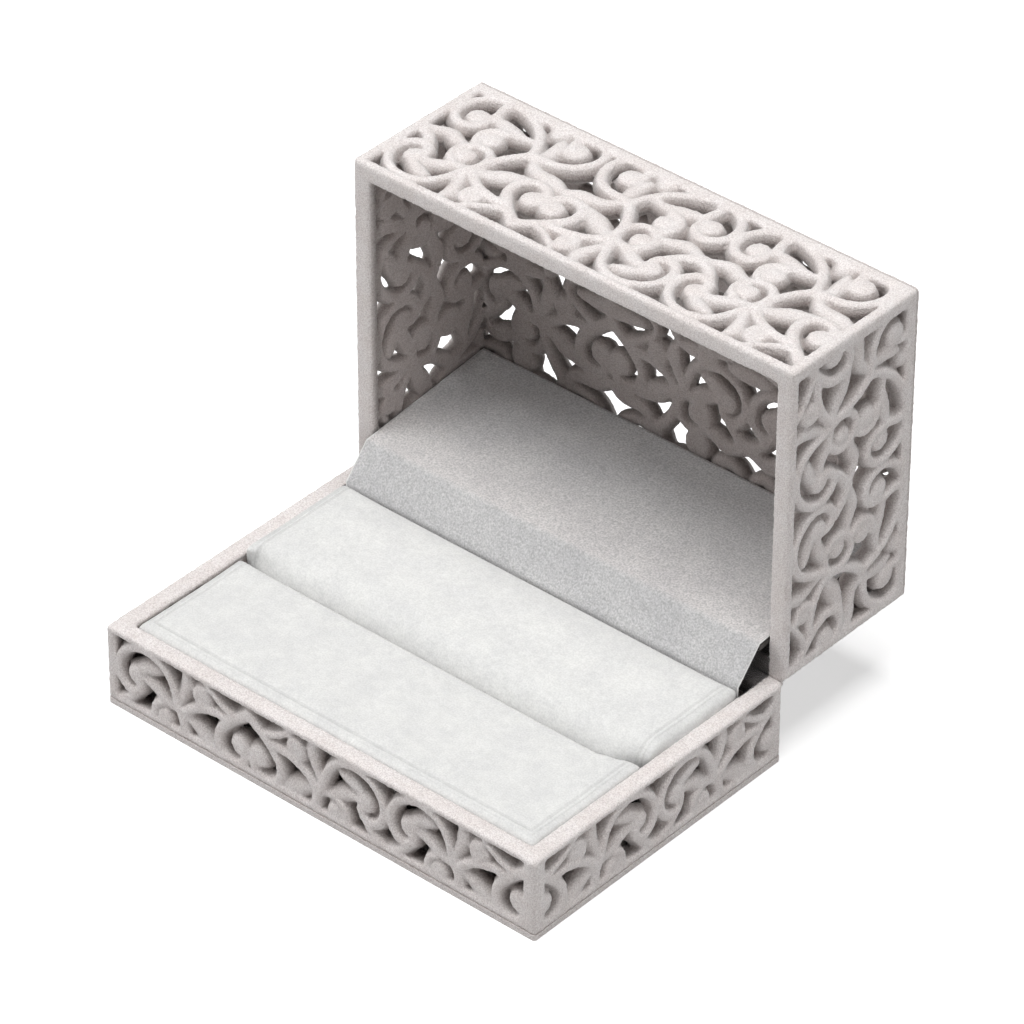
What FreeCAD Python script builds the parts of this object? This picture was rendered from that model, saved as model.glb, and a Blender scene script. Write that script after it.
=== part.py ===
import FreeCAD, Part
import os

# Hinged ring box with openwork walls, standing open at ninety degrees.
# Millimetres, +Z up. The origin is the centre of the base's underside: X runs along the
# hinge, -Y is the front of the box and the lid lies behind the hinge, at +Y.

os.makedirs("parts", exist_ok=True)
Vec = FreeCAD.Vector

# ---------------------------------------------------------------- driving dimensions
BOX_WIDTH = 86.0          # outside width, along X
BOX_DEPTH = 56.4          # outside depth of the shut box, along Y
BASE_HEIGHT = 14.6        # underside to rim
LID_HEIGHT = 29.6         # rim to top
BASE_WALL = 3.1
LID_WALL = 3.1
BOTTOM_PLATE = 1.0        # plate glued under the base walls
EDGE_ROUND = 0.5          # outside edges of the base and the lid
RIM_GAP = 0.15            # between the two rims when shut

# Plain bands left round the openwork
BASE_RIM_BAND = 1.15
LID_RIM_BAND = 1.95
FOOT_BAND = 1.2           # above the bottom plate
CROWN_BAND = 0.7          # below the lid's top panel
POST_MARGIN = 0.3         # solid strip beside a corner, past the wall that meets it there
CENTRE_BAND = 0.6         # half of the plain strip along the middle of the top panel

# Ornament layout
LONG_END = 1.45           # from a corner to the pattern's first axis on a wide wall
SHORT_END = 0.5           # the same on a side wall
LID_SHIFT = 0.8           # the lid's rim band moves its pattern out by this
SMALLEST_HOLE = 0.5       # clipped holes of less area, mm2, are left out

# Hinge
HINGE_LENGTH = 44.0
PIN_RADIUS = 0.6
PIN_CLEARANCE = 0.05      # radial, pin to knuckle
KNUCKLE_WALL = 0.55
KNUCKLE_GAP = 0.2         # along the pin, between knuckles
LEAF_THICKNESS = 0.6
LEAF_REACH = 9.0          # from the hinge axis to a leaf's far edge
NOTCH_CLEARANCE = 0.35    # round the knuckles, in both back walls
NOTCH_BAND = 0.9          # solid strip under each notch
SPRING_WIDTH = 12.0
SPRING_THICKNESS = 0.3
SPRING_SEAT_GAP = 0.06    # spring end to leaf
SPRING_DROP = 5.4         # from the rim down to the spring's end on the base leaf
SPRING_REACH = 4.5        # from the hinge axis to its end on the lid leaf
SPRING_BOW = 0.75         # how far the spring stands off the base leaf

# Ring pad
PAD_BOARD = 1.0
PAD_CLEARANCE = 0.35      # pad to the inside of the base
VELVET = 0.6              # pile and backing
FRONT_ROLL_DEPTH = 23.15
FRONT_ROLL_RISE = 0.0     # above the rim
SLOT_MOUTH = 4.6          # width of the ring slot at its mouth
SLOT_MOUTH_DEPTH = 3.2    # depth below the rim of the wide part
SLOT_FLOOR = 1.7          # width at the bottom
REAR_ROLL_RISE = 1.5
ROLL_ROUND = 1.5          # outside radius of the rolls' top edges
SLOT_STRIP = 0.6          # thickness of the strip on the slot's floor
SLOT_STRIP_GAP = 0.17     # strip to the rear roll

# Grey lining that hides the hinge
LINING_BOARD = 0.8
LINING_PILE = 0.5
LINING_GAP = 0.4          # rear roll to lining
LINING_SIDE_GAP = 0.35    # to the lid's side walls and top panel
TAIL_DROP = 1.8           # the glued tail ends this far below the rim
CREASE_BACK = 1.46        # crease, in front of the hinge axis
CREASE_RISE = 6.6         # crease, above the rim
LINING_SLOPE = 0.105      # rise per millimetre towards the lid's top panel
FOLD_KNEE_RISE = 1.0      # where the lining turns out from behind the pad
FOLD_KNEE_BACK = 0.2      # how far it leans back by then

# ---------------------------------------------------------------- places worked out
FRONT = -BOX_DEPTH / 2
BACK = BOX_DEPTH / 2
LEFT = -BOX_WIDTH / 2
RIGHT = BOX_WIDTH / 2
RIM = BASE_HEIGHT
LID_RIM = BACK + RIM_GAP
LID_TOP = BACK + LID_HEIGHT
LID_CEILING = RIM + BOX_DEPTH         # outside of the lid's front wall, open
INNER_TOP = LID_TOP - LID_WALL        # inside of the lid's top panel
BORE_RADIUS = PIN_RADIUS + PIN_CLEARANCE
KNUCKLE_RADIUS = BORE_RADIUS + KNUCKLE_WALL
NOTCH_DEPTH = KNUCKLE_RADIUS + NOTCH_CLEARANCE
NOTCH_LENGTH = HINGE_LENGTH + 2 * NOTCH_CLEARANCE
BOARD_TOP = BOTTOM_PLATE + PAD_BOARD
PAD_LEFT = LEFT + BASE_WALL + PAD_CLEARANCE
PAD_RIGHT = -PAD_LEFT
PAD_FRONT = FRONT + BASE_WALL + PAD_CLEARANCE
SLOT_FRONT = PAD_FRONT + FRONT_ROLL_DEPTH
SLOT_BACK = SLOT_FRONT + SLOT_MOUTH
LINING_FRONT = BACK - CREASE_RISE - LINING_GAP / 2
REAR_ROLL_BACK = LINING_FRONT - LINING_GAP


def save(name, shape):
    """Writes one named piece."""
    shape.exportStep("parts/" + name + ".step")


def box(x0, x1, y0, y1, z0, z1):
    return Part.makeBox(x1 - x0, y1 - y0, z1 - z0, Vec(x0, y0, z0))


def prism(profile, x0, x1):
    """Solid with a (y, z) outline, from x0 to x1."""
    corners = [Vec(x0, y, z) for y, z in profile]
    outline = Part.makePolygon(corners + corners[:1])
    return Part.Face(outline).extrude(Vec(x1 - x0, 0, 0))


# ---------------------------------------------------------------- scrollwork
# One cell of the ornament on its own grid: s runs from the heart axis (0) to the scroll
# axis (CELL), t from the rim outwards. Every second cell is mirrored. Each hole is a
# smooth closed curve through its points. A hole on an axis is given as its half.
CELL = 27.4

NEAR_RIM = [
    # small triangle beside the heart's foot
    [(2.0, 1.25), (3.1, 1.2), (4.2, 1.25), (3.9, 2.1), (3.1, 2.9), (2.4, 2.1)],
    # gap beside the bud
    [(4.4, 4.6), (5.8, 5.0), (7.2, 4.9), (7.1, 4.0), (7.0, 3.2), (6.3, 3.3), (5.4, 4.0)],
    # long wedge between the bud and the teardrop leaf
    [(9.7, 1.3), (11.9, 1.3), (11.4, 2.6), (11.3, 3.8), (11.9, 4.9), (12.9, 6.0), (13.8, 7.2),
     (13.7, 8.8), (12.9, 7.8), (11.9, 6.7), (10.9, 5.4), (10.7, 3.8), (10.2, 2.3)],
    # triangle at the teardrop's foot
    [(14.1, 1.25), (15.2, 1.2), (16.4, 1.25), (15.8, 2.1), (15.1, 2.9), (14.7, 2.1)],
    # hollow under the broad leaf
    [(6.8, 7.0), (8.4, 7.0), (9.9, 7.7), (11.3, 8.9), (9.9, 9.0), (8.6, 9.1), (7.7, 9.9),
     (7.2, 8.9), (7.0, 7.9)],
    # slit between the main stem and the inner leaf
    [(15.8, 8.1), (16.6, 7.7), (17.5, 6.6), (18.2, 5.5), (17.9, 4.4), (17.3, 3.8), (16.7, 4.8),
     (16.2, 6.0), (15.8, 7.1)],
    # crescent inside the large lower scroll
    [(19.0, 2.6), (20.4, 2.1), (22.0, 2.3), (23.7, 3.0), (25.0, 4.2), (25.8, 5.8), (25.9, 7.4),
     (25.2, 8.8), (23.9, 9.3), (23.4, 8.8), (24.3, 8.1), (24.7, 7.0), (24.2, 5.8), (23.2, 4.7),
     (22.1, 3.7), (20.8, 3.1)],
    # bead hole
    [(20.7, 6.2), (21.2, 5.7), (21.7, 6.2), (21.2, 6.7)],
]
NEAR_RIM_HEART = [
    # the heart, between its two curled ends
    [(0, 3.9), (1.5, 5.0), (3.1, 6.3), (4.6, 8.0), (5.4, 9.8), (4.9, 11.4), (3.6, 11.9),
     (2.8, 11.4), (3.7, 10.8), (4.0, 9.8), (3.6, 8.5), (2.6, 7.3), (1.3, 6.4), (0, 6.0)],
]
NEAR_RIM_SCROLL = [
    # foot between two scrolls
    [(CELL, 4.1), (26.7, 3.1), (26.1, 2.2), (25.7, 1.3), (26.5, 1.2), (CELL, 1.2)],
]
BASE_ONLY = [
    [(11.5, 11.4), (12.0, 10.8), (12.5, 11.4), (12.0, 12.0)],
    [(14.3, 12.0), (14.6, 11.2), (15.2, 10.4), (15.8, 10.5), (15.4, 11.3), (15.1, 12.0)],
    [(18.9, 10.0), (19.6, 9.5), (20.3, 8.4), (21.1, 9.6), (21.9, 10.8), (22.4, 12.0),
     (21.3, 12.1), (20.3, 12.0), (19.7, 11.0)],
]
BASE_ONLY_SCROLL = [
    [(CELL, 12.1), (26.3, 12.0), (25.2, 11.7), (25.7, 11.1), (26.6, 10.6), (CELL, 9.9)],
]
UPPER = [
    # arched hollow over the broad leaf
    [(6.4, 14.5), (7.9, 14.3), (9.5, 13.7), (10.8, 12.6), (11.4, 11.4), (12.1, 11.7),
     (12.0, 13.0), (11.5, 14.5), (10.5, 16.1), (9.3, 17.3), (8.5, 17.2), (8.0, 16.1),
     (7.2, 15.2)],
    # crescent inside the upper left scroll
    [(6.8, 19.7), (5.0, 20.1), (3.3, 21.6), (2.1, 23.4), (1.9, 25.2), (2.8, 26.5), (3.9, 26.6),
     (3.6, 25.3), (3.2, 24.0), (3.8, 22.7), (5.0, 21.7), (6.3, 21.4)],
    # slit above the upper left leaf
    [(6.9, 27.2), (7.7, 26.9), (8.2, 25.9), (8.0, 25.3), (7.4, 25.9), (6.9, 26.6)],
    # wedge between that leaf and the large upper scroll
    [(9.3, 19.4), (10.0, 19.3), (10.6, 21.0), (11.5, 22.9), (12.9, 24.6), (11.4, 24.7),
     (10.0, 24.2), (9.9, 22.9), (9.4, 21.2)],
    # long slit under the large upper scroll
    [(13.8, 22.5), (15.2, 22.8), (16.6, 23.6), (18.2, 24.1), (19.7, 24.4), (20.1, 25.4),
     (19.6, 26.1), (18.2, 25.8), (16.5, 24.8), (14.9, 23.8)],
    # hollow left of the middle bud
    [(13.2, 21.2), (14.1, 20.4), (14.9, 19.3), (15.0, 17.9), (15.9, 16.4), (14.6, 15.9),
     (13.2, 16.7), (12.6, 18.1), (12.8, 19.8)],
    # hollow right of the middle bud
    [(18.7, 20.2), (19.3, 21.2), (20.0, 21.4), (20.4, 20.2), (21.1, 18.7), (22.0, 17.5),
     (21.2, 16.2), (20.1, 15.3), (19.1, 15.3), (19.7, 16.5), (20.1, 17.8), (19.7, 19.2)],
    # crescent inside the large upper scroll
    [(22.3, 26.3), (23.4, 25.7), (24.6, 24.3), (25.5, 22.6), (25.7, 21.0), (25.0, 19.9),
     (24.4, 20.3), (24.8, 21.4), (24.4, 22.7), (23.3, 23.5), (22.1, 23.6), (22.2, 24.8)],
    # crescent inside the small middle scroll
    [(16.6, 14.1), (15.6, 13.8), (14.7, 12.9), (14.6, 11.7), (15.4, 10.8), (15.9, 11.2),
     (15.3, 12.0), (15.6, 12.9), (16.4, 13.4)],
    # hollow above the large lower scroll
    [(18.5, 9.9), (19.4, 10.7), (20.2, 11.9), (20.9, 12.8), (21.8, 12.9), (22.0, 12.0),
     (21.0, 10.5), (20.1, 9.3), (19.3, 9.3)],
]
UPPER_HEART = [
    [(0, 16.2), (1.2, 16.8), (2.3, 17.3), (2.9, 17.8), (2.1, 18.7), (1.4, 19.9), (0.8, 20.9),
     (0, 21.4)],
]
UPPER_SCROLL = [
    [(CELL, 19.2), (26.7, 18.2), (26.0, 17.2), (25.8, 16.5), (26.6, 16.6), (CELL, 16.9)],
    [(CELL, 12.2), (26.4, 12.0), (25.6, 11.6), (26.5, 11.0), (CELL, 10.5)],
    [(CELL, 27.4), (26.4, 27.3), (25.7, 26.9), (26.5, 25.9), (CELL, 25.1)],
]

# Each wall's pattern: plain holes, heart-axis halves, scroll-axis halves, shift of t
BASE_PATTERN = [
    (NEAR_RIM, NEAR_RIM_HEART, NEAR_RIM_SCROLL, 0.0),
    (BASE_ONLY, [], BASE_ONLY_SCROLL, 0.0),
]
LID_PATTERN = [
    (NEAR_RIM, NEAR_RIM_HEART, NEAR_RIM_SCROLL, LID_SHIFT),
    (UPPER, UPPER_HEART, UPPER_SCROLL, 0.0),
]
TOP_PATTERN = [
    (NEAR_RIM, NEAR_RIM_HEART, NEAR_RIM_SCROLL, 0.0),
    (UPPER, UPPER_HEART, UPPER_SCROLL, -LID_SHIFT),
]
BASE_DRAWN = 14.4         # height of the drawn pattern on the base
LID_DRAWN = 29.2          # the same on the lid
TOP_DRAWN = 28.0          # the same on half of the top panel


def mirrored_outline(half, axis, place):
    """Full outline of a hole on an axis, from its half, centred on place."""
    one_side = [(place + abs(s - axis), t) for s, t in half]
    other_side = [(place - abs(s - axis), t) for s, t in reversed(half[1:-1])]
    return one_side + other_side


def cell_count(length, end):
    """Cells that fit along a wall at about their drawn width."""
    return max(1, round((length - 2 * end) / CELL))


def outlines(pattern, cells, starts_with_heart):
    """All hole outlines of a row of cells, in drawn units."""
    found = []
    for plain, heart_halves, scroll_halves, shift in pattern:
        for cell in range(cells):
            forwards = (cell % 2 == 0) == starts_with_heart
            start = cell * CELL if forwards else (cell + 1) * CELL
            way = 1 if forwards else -1
            for hole in plain:
                found.append([(start + way * s, t + shift) for s, t in hole])
        for line in range(cells + 1):
            on_heart = (line % 2 == 0) == starts_with_heart
            halves = heart_halves if on_heart else scroll_halves
            axis = 0 if on_heart else CELL
            for half in halves:
                moved = [(s, t + shift) for s, t in half]
                found.append(mirrored_outline(moved, axis, line * CELL))
    return found


def closed_curve(points):
    curve = Part.BSplineCurve()
    curve.interpolate(Points=points, PeriodicFlag=True)
    return Part.Wire(curve.toShape())


def rectangle(place, s0, s1, t0, t1):
    corners = [place(s0, t0), place(s1, t0), place(s1, t1), place(s0, t1)]
    return Part.makePolygon(corners + corners[:1])


def hole_wires(pattern, starts_with_heart, end, length, t_scale, place, window):
    """Wires of the holes, cut off at the window (s0, s1, t0, t1)."""
    cells = cell_count(length, end)
    s_scale = (length - 2 * end) / (cells * CELL)
    s0, s1, t0, t1 = window
    frame = Part.Face(rectangle(place, s0, s1, t0, t1))
    wires = []
    for outline in outlines(pattern, cells, starts_with_heart):
        spots = [(end + s * s_scale, t * t_scale) for s, t in outline]
        wire = closed_curve([place(s, t) for s, t in spots])
        inside = all(s0 < s < s1 and t0 < t < t1 for s, t in spots)
        if inside:
            wires.append(wire)
            continue
        for piece in Part.Face(wire).common(frame).Faces:
            if piece.Area > SMALLEST_HOLE:
                wires.append(piece.OuterWire)
    return wires


def pierced(outer, wires, thickness):
    """Plate from an outline and its holes, grown by the thickness vector."""
    face = Part.Face([outer] + wires, "Part::FaceMakerBullseye")
    return face.extrude(thickness)


def wide_wall(place, bottom, pattern, drawn, height, band, foot, wall):
    """Front or back wall. place maps (s, t) to its outside face, bottom is its far edge."""
    window = (wall + POST_MARGIN, BOX_WIDTH - wall - POST_MARGIN, band, bottom - foot)
    wires = hole_wires(pattern, False, LONG_END, BOX_WIDTH, height / drawn, place, window)
    return rectangle(place, 0, BOX_WIDTH, 0, bottom), wires


def side_wall(place, bottom, pattern, drawn, height, band, foot, wall):
    """Side wall, between the front and back walls."""
    window = (wall + POST_MARGIN, BOX_DEPTH - wall - POST_MARGIN, band, bottom - foot)
    wires = hole_wires(pattern, True, SHORT_END, BOX_DEPTH, height / drawn, place, window)
    return rectangle(place, wall, BOX_DEPTH - wall, 0, bottom), wires


BASE_OUTSIDE = [("X", LEFT), ("X", RIGHT), ("Y", FRONT), ("Y", BACK), ("Z", RIM)]
LID_OUTSIDE = [("X", LEFT), ("X", RIGHT), ("Y", LID_RIM), ("Y", LID_TOP), ("Z", RIM),
               ("Z", LID_CEILING)]


def rounded_outside(solid, planes):
    """Rounds a piece's edges where two outside planes of its shell meet."""
    edges = []
    for edge in solid.Edges:
        on = [p for p in planes
              if all(abs(getattr(v, p[0]) - p[1]) < 0.001 for v in edge.Vertexes)]
        if len(on) > 1:
            edges.append(edge)
    return solid.makeFillet(EDGE_ROUND, edges)


# ---------------------------------------------------------------- base shell
BASE_DROP = BASE_HEIGHT - BOTTOM_PLATE
BACK_BAND = NOTCH_DEPTH + NOTCH_BAND


def base_walls():
    plate = box(LEFT, RIGHT, FRONT, BACK, 0, BOTTOM_PLATE)
    save("base_bottom_plate", rounded_outside(plate, BASE_OUTSIDE))
    measures = (BASE_PATTERN, BASE_DRAWN, BASE_HEIGHT)
    rest = (FOOT_BAND, BASE_WALL)

    def front(s, t):
        return Vec(LEFT + s, FRONT, RIM - t)

    def back(s, t):
        return Vec(RIGHT - s, BACK, RIM - t)

    def left(s, t):
        return Vec(LEFT, BACK - s, RIM - t)

    def right(s, t):
        return Vec(RIGHT, FRONT + s, RIM - t)

    outer, wires = wide_wall(front, BASE_DROP, *measures, BASE_RIM_BAND, *rest)
    wall = pierced(outer, wires, Vec(0, BASE_WALL, 0))
    save("base_front_wall", rounded_outside(wall, BASE_OUTSIDE))

    outer, wires = wide_wall(back, BASE_DROP, *measures, BACK_BAND, *rest)
    wall = pierced(outer, wires, Vec(0, -BASE_WALL, 0))
    notch = box(-NOTCH_LENGTH / 2, NOTCH_LENGTH / 2, BACK - BASE_WALL, BACK,
                RIM - NOTCH_DEPTH, RIM)
    save("base_back_wall", rounded_outside(wall.cut(notch), BASE_OUTSIDE))

    outer, wires = side_wall(left, BASE_DROP, *measures, BASE_RIM_BAND, *rest)
    wall = pierced(outer, wires, Vec(BASE_WALL, 0, 0))
    save("base_left_wall", rounded_outside(wall, BASE_OUTSIDE))

    outer, wires = side_wall(right, BASE_DROP, *measures, BASE_RIM_BAND, *rest)
    wall = pierced(outer, wires, Vec(-BASE_WALL, 0, 0))
    save("base_right_wall", rounded_outside(wall, BASE_OUTSIDE))


# ---------------------------------------------------------------- lid shell, open
LID_DROP = INNER_TOP - LID_RIM        # walls, from their rim to the top panel


def lid_walls():
    measures = (LID_PATTERN, LID_DRAWN, LID_HEIGHT)
    rest = (CROWN_BAND, LID_WALL)

    def front(s, t):
        return Vec(LEFT + s, LID_RIM + t, LID_CEILING)

    def back(s, t):
        return Vec(RIGHT - s, LID_RIM + t, RIM)

    def left(s, t):
        return Vec(LEFT, LID_RIM + t, RIM + s)

    def right(s, t):
        return Vec(RIGHT, LID_RIM + t, LID_CEILING - s)

    outer, wires = wide_wall(front, LID_DROP, *measures, LID_RIM_BAND, *rest)
    wall = pierced(outer, wires, Vec(0, 0, -LID_WALL))
    save("lid_front_wall", rounded_outside(wall, LID_OUTSIDE))

    outer, wires = wide_wall(back, LID_DROP, *measures, BACK_BAND, *rest)
    wall = pierced(outer, wires, Vec(0, 0, LID_WALL))
    notch = box(-NOTCH_LENGTH / 2, NOTCH_LENGTH / 2, LID_RIM, BACK + NOTCH_DEPTH,
                RIM, RIM + LID_WALL)
    save("lid_back_wall", rounded_outside(wall.cut(notch), LID_OUTSIDE))

    outer, wires = side_wall(left, LID_DROP, *measures, LID_RIM_BAND, *rest)
    wall = pierced(outer, wires, Vec(LID_WALL, 0, 0))
    save("lid_left_wall", rounded_outside(wall, LID_OUTSIDE))

    outer, wires = side_wall(right, LID_DROP, *measures, LID_RIM_BAND, *rest)
    wall = pierced(outer, wires, Vec(-LID_WALL, 0, 0))
    save("lid_right_wall", rounded_outside(wall, LID_OUTSIDE))


def lid_top_panel():
    """Full top panel: two rows of cells, mirrored about its middle."""
    middle = RIM + BOX_DEPTH / 2
    half = BOX_DEPTH / 2
    edge = LID_WALL + POST_MARGIN
    window = (edge, BOX_WIDTH - edge, CENTRE_BAND, half - edge)
    wires = []
    for way in (1, -1):
        def place(s, t, way=way):
            return Vec(LEFT + s, LID_TOP, middle + way * t)
        wires += hole_wires(TOP_PATTERN, False, LONG_END, BOX_WIDTH, half / TOP_DRAWN, place,
                            window)
    outer = rectangle(place, 0, BOX_WIDTH, -half, half)
    panel = pierced(outer, wires, Vec(0, -LID_WALL, 0))
    save("lid_top_panel", rounded_outside(panel, LID_OUTSIDE))


# ---------------------------------------------------------------- hinge
KNUCKLE_PITCH = HINGE_LENGTH / 5


def knuckle_spans(numbers):
    """X ranges of the numbered knuckles, first to fifth along the hinge."""
    start = -HINGE_LENGTH / 2
    spans = []
    for number in numbers:
        x0 = start + number * KNUCKLE_PITCH + (KNUCKLE_GAP / 2 if number > 0 else 0)
        x1 = start + (number + 1) * KNUCKLE_PITCH - (KNUCKLE_GAP / 2 if number < 4 else 0)
        spans.append((x0, x1))
    return spans


def along_axis(radius, x0, x1):
    """Cylinder round the hinge axis."""
    return Part.makeCylinder(radius, x1 - x0, Vec(x0, BACK, RIM), Vec(1, 0, 0))


def hinge():
    half = HINGE_LENGTH / 2
    overrun = KNUCKLE_GAP                 # past both ends, so that the cut is clean
    bore = along_axis(BORE_RADIUS, -half - overrun, half + overrun)
    web_root = (BORE_RADIUS + KNUCKLE_RADIUS) / 2

    base_face = BACK - BASE_WALL
    leaf = box(-half, half, base_face - LEAF_THICKNESS, base_face, RIM - LEAF_REACH,
               RIM - RIM_GAP)
    for x0, x1 in knuckle_spans((0, 2, 4)):
        web = box(x0, x1, base_face - LEAF_THICKNESS, BACK - web_root,
                  RIM - RIM_GAP - LEAF_THICKNESS, RIM - RIM_GAP)
        leaf = leaf.fuse(web).fuse(along_axis(KNUCKLE_RADIUS, x0, x1))
    save("base_hinge_leaf", leaf.cut(bore).removeSplitter())

    lid_face = RIM + LID_WALL
    leaf = box(-half, half, LID_RIM, BACK + LEAF_REACH, lid_face, lid_face + LEAF_THICKNESS)
    for x0, x1 in knuckle_spans((1, 3)):
        web = box(x0, x1, LID_RIM, LID_RIM + LEAF_THICKNESS, RIM + web_root,
                  lid_face + LEAF_THICKNESS)
        leaf = leaf.fuse(web).fuse(along_axis(KNUCKLE_RADIUS, x0, x1))
    save("lid_hinge_leaf", leaf.cut(bore).removeSplitter())

    save("hinge_pin", along_axis(PIN_RADIUS, -half, half))


def snap_spring():
    """Bowed strip from one leaf to the other, past the inside of the hinge."""
    base_seat = BACK - BASE_WALL - LEAF_THICKNESS - SPRING_SEAT_GAP
    lid_seat = RIM + LID_WALL + LEAF_THICKNESS + SPRING_SEAT_GAP
    half = SPRING_THICKNESS / 2
    corner = KNUCKLE_RADIUS + SPRING_THICKNESS + SPRING_SEAT_GAP
    middle_line = [
        (base_seat - half, RIM - SPRING_DROP),
        (base_seat - half - SPRING_BOW / 2, RIM - SPRING_DROP / 2),
        (base_seat - half - SPRING_BOW, RIM - SPRING_THICKNESS),
        (base_seat - half, RIM + corner),
        (BACK - corner - half, lid_seat + half),
        (BACK + corner, lid_seat + half + SPRING_BOW / 2),
        (BACK + SPRING_REACH, lid_seat + half),
    ]
    line = Part.BSplineCurve()
    line.interpolate(Points=[Vec(0, y, z) for y, z in middle_line])
    near, far = [], []
    steps = 24
    first, last = line.FirstParameter, line.LastParameter
    for step in range(steps + 1):
        at = first + (last - first) * step / steps
        way = line.tangent(at)[0]
        across = Vec(0, -way.z, way.y) * half
        near.append(line.value(at) + across)
        far.append(line.value(at) - across)
    sides = []
    for points in (near, far):
        side = Part.BSplineCurve()
        side.interpolate(Points=points)
        sides.append(side.toShape())
    ends = [Part.makeLine(near[0], far[0]), Part.makeLine(near[-1], far[-1])]
    outline = Part.Wire(Part.__sortEdges__(sides + ends))
    strip = Part.Face(outline).extrude(Vec(SPRING_WIDTH, 0, 0))
    strip.translate(Vec(-SPRING_WIDTH / 2, 0, 0))
    save("snap_spring", strip)


# ---------------------------------------------------------------- ring pad
def rounded_top(solid, top, radius):
    """Rounds the edges round a solid's highest face."""
    rim = [e for e in solid.Edges if all(abs(v.Z - top) < 0.001 for v in e.Vertexes)]
    return solid.makeFillet(radius, rim)


def front_roll(inset):
    """Front roll, or its foam when inset by the velvet."""
    top = RIM + FRONT_ROLL_RISE - inset
    block = box(PAD_LEFT + inset, PAD_RIGHT - inset, PAD_FRONT + inset, SLOT_FRONT - inset,
                BOARD_TOP, top)
    return rounded_top(block, top, ROLL_ROUND - inset)


def rear_roll(inset):
    """Rear roll: steep mouth at the slot, then a foot that closes the slot's floor."""
    top = RIM + REAR_ROLL_RISE - inset
    knee = RIM - SLOT_MOUTH_DEPTH
    profile = [
        (SLOT_BACK + inset, top),
        (SLOT_BACK + inset, knee),
        (SLOT_FRONT + SLOT_FLOOR + inset, BOARD_TOP),
        (REAR_ROLL_BACK - inset, BOARD_TOP),
        (REAR_ROLL_BACK - inset, top),
    ]
    block = prism(profile, PAD_LEFT + inset, PAD_RIGHT - inset)
    return rounded_top(block, top, ROLL_ROUND - inset)


def ring_pad():
    board_back = REAR_ROLL_BACK
    save("pad_board", box(PAD_LEFT, PAD_RIGHT, PAD_FRONT, board_back, BOTTOM_PLATE, BOARD_TOP))
    save("front_foam", front_roll(VELVET))
    save("front_velvet", front_roll(0).cut(front_roll(VELVET)))
    save("rear_foam", rear_roll(VELVET))
    save("rear_velvet", rear_roll(0).cut(rear_roll(VELVET)))
    strip_back = SLOT_FRONT + SLOT_FLOOR - SLOT_STRIP_GAP
    save("slot_strip", box(PAD_LEFT, PAD_RIGHT, SLOT_FRONT, strip_back,
                           BOARD_TOP, BOARD_TOP + SLOT_STRIP))


# ---------------------------------------------------------------- grey lining
def lining():
    x0 = LEFT + max(BASE_WALL, LID_WALL) + LINING_SIDE_GAP
    x1 = -x0
    crease = (BACK - CREASE_BACK, RIM + CREASE_RISE)
    end_y = INNER_TOP - LINING_SIDE_GAP
    end = (end_y, crease[1] + LINING_SLOPE * (end_y - crease[0]))

    def lowered(point, depth):
        return (point[0], point[1] - depth)

    pile = [crease, end, lowered(end, LINING_PILE), lowered(crease, LINING_PILE)]
    save("lining_velvet", prism(pile, x0, x1))
    depth = LINING_PILE + LINING_BOARD
    board = [pile[3], pile[2], lowered(end, depth), lowered(crease, depth)]
    save("lining_board", prism(board, x0, x1))

    tail_top = RIM - TAIL_DROP
    tail_y = LINING_FRONT
    save("lining_tail", box(x0, x1, tail_y, tail_y + LINING_BOARD, BOTTOM_PLATE, tail_top))

    knee = (tail_y + FOLD_KNEE_BACK, RIM + FOLD_KNEE_RISE)
    fold = [
        (tail_y, tail_top),
        knee,
        crease,
        lowered(crease, depth),
        (knee[0] + LINING_BOARD, knee[1] - LINING_BOARD / 2),
        (tail_y + LINING_BOARD, tail_top),
    ]
    save("lining_fold", prism(fold, x0, x1))


base_walls()
lid_walls()
lid_top_panel()
hinge()
snap_spring()
ring_pad()
lining()
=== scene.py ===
import math

import bpy
import numpy as np
from mathutils import Matrix, Vector


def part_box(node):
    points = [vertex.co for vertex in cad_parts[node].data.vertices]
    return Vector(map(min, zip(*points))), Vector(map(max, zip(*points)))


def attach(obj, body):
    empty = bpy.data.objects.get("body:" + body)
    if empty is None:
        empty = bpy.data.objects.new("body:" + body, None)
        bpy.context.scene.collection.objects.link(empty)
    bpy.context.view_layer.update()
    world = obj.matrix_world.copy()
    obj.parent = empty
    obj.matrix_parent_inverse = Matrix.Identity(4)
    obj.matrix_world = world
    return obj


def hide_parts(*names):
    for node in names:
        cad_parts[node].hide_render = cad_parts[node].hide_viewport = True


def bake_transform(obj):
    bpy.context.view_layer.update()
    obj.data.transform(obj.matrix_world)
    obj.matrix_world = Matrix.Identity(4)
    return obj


# Looks of the hinged ring box. The openwork shells and the pads are solid fields on a
# voxel grid, meshed from there. Shapes are worked out in millimetres, and their meshes,
# like the materials, lamps and camera, are in metres.

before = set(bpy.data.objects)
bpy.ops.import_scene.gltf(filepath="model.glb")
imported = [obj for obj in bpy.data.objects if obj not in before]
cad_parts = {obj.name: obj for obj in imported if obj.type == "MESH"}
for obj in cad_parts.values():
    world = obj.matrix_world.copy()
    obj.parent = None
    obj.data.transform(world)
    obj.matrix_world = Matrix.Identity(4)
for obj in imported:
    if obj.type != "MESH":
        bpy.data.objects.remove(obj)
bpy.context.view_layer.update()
MM = 0.001


# ---------------------------------------------------------------- sizes from the CAD parts
def node_box(node):
    """Lowest and highest corner of a CAD node, in millimetres."""
    low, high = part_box(node)
    return np.array(low) / MM, np.array(high) / MM


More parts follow.
